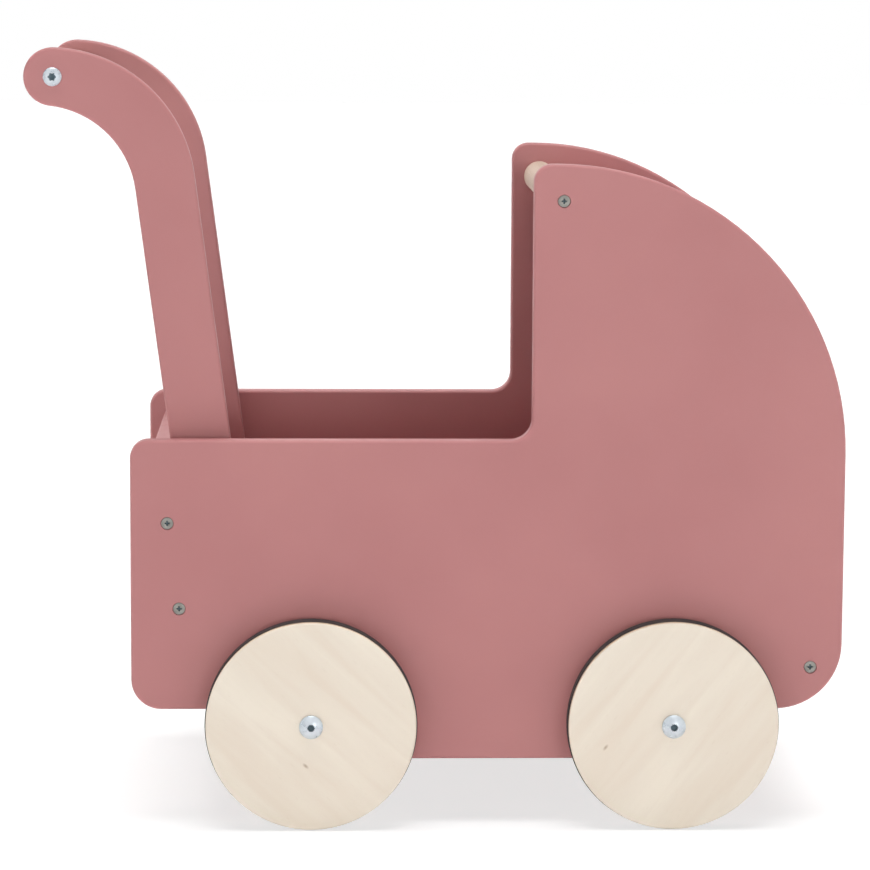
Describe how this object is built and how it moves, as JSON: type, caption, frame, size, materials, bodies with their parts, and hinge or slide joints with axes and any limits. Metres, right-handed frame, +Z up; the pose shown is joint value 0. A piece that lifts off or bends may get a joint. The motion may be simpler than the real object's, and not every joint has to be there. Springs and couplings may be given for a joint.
{
  "type": "doll stroller",
  "caption": "Toy doll stroller: painted plywood tray body with a rounded hood, a curved push handle with a round grip, and wooden disc wheels that turn freely on bolts.",
  "frame": {"origin": "middle of the footprint of the bounding box, on the floor under the tyres", "axes": "+X forwards to the hood end, +Y to the stroller's left, +Z up"},
  "size_m": [0.5452, 0.3372, 0.5168],
  "materials": {
    "pink_painted_plywood": "satin dusty pink paint on birch plywood",
    "beech": "bare sanded beech",
    "wheel_plywood": "clear lacquered birch plywood",
    "tyre_rubber": "matt dark grey rubber",
    "bush_nylon": "natural nylon",
    "zinc_steel": "bright zinc plated steel"
  },
  "bodies": {
    "chassis": {"side_panel_left": "pink_painted_plywood", "side_panel_right": "pink_painted_plywood", "end_board": "pink_painted_plywood", "floor_board": "pink_painted_plywood", "hood_sheet": "pink_painted_plywood", "hood_dowel": "beech", "front_dowel": "beech", "axle_beam_rear": "beech", "axle_beam_front": "beech", "handle_arm_left": "pink_painted_plywood", "handle_arm_right": "pink_painted_plywood", "handle_grip": "beech", "handle_bolts": "zinc_steel", "handle_inserts": "zinc_steel", "end_board_screws": "zinc_steel", "hood_dowel_screws": "zinc_steel", "front_dowel_screws": "zinc_steel", "beam_screws": "zinc_steel", "floor_screws": "zinc_steel", "arm_screws": "zinc_steel", "axle_inserts": "zinc_steel", "axle_washers": "zinc_steel", "axle_bolt_rear_left": "zinc_steel", "axle_bolt_rear_right": "zinc_steel", "axle_bolt_front_left": "zinc_steel", "axle_bolt_front_right": "zinc_steel"},
    "rear_left_wheel": {"wheel_rear_left": "wheel_plywood", "tyre_rear_left": "tyre_rubber", "hub_bush_rear_left": "bush_nylon"},
    "rear_right_wheel": {"wheel_rear_right": "wheel_plywood", "tyre_rear_right": "tyre_rubber", "hub_bush_rear_right": "bush_nylon"},
    "front_left_wheel": {"wheel_front_left": "wheel_plywood", "tyre_front_left": "tyre_rubber", "hub_bush_front_left": "bush_nylon"},
    "front_right_wheel": {"wheel_front_right": "wheel_plywood", "tyre_front_right": "tyre_rubber", "hub_bush_front_right": "bush_nylon"}
  },
  "joints": [
    {"name": "rear_left_wheel_spin", "type": "hinge", "parent": "chassis", "child": "rear_left_wheel", "pos_m": [-0.0829, 0.1553, 0.0707], "axis": [0, 1, 0], "continuous": true},
    {"name": "rear_right_wheel_spin", "type": "hinge", "parent": "chassis", "child": "rear_right_wheel", "pos_m": [-0.0829, -0.1553, 0.0707], "axis": [0, 1, 0], "continuous": true},
    {"name": "front_left_wheel_spin", "type": "hinge", "parent": "chassis", "child": "front_left_wheel", "pos_m": [0.1582, 0.1553, 0.0707], "axis": [0, 1, 0], "continuous": true},
    {"name": "front_right_wheel_spin", "type": "hinge", "parent": "chassis", "child": "front_right_wheel", "pos_m": [0.1582, -0.1553, 0.0707], "axis": [0, 1, 0], "continuous": true}
  ]
}
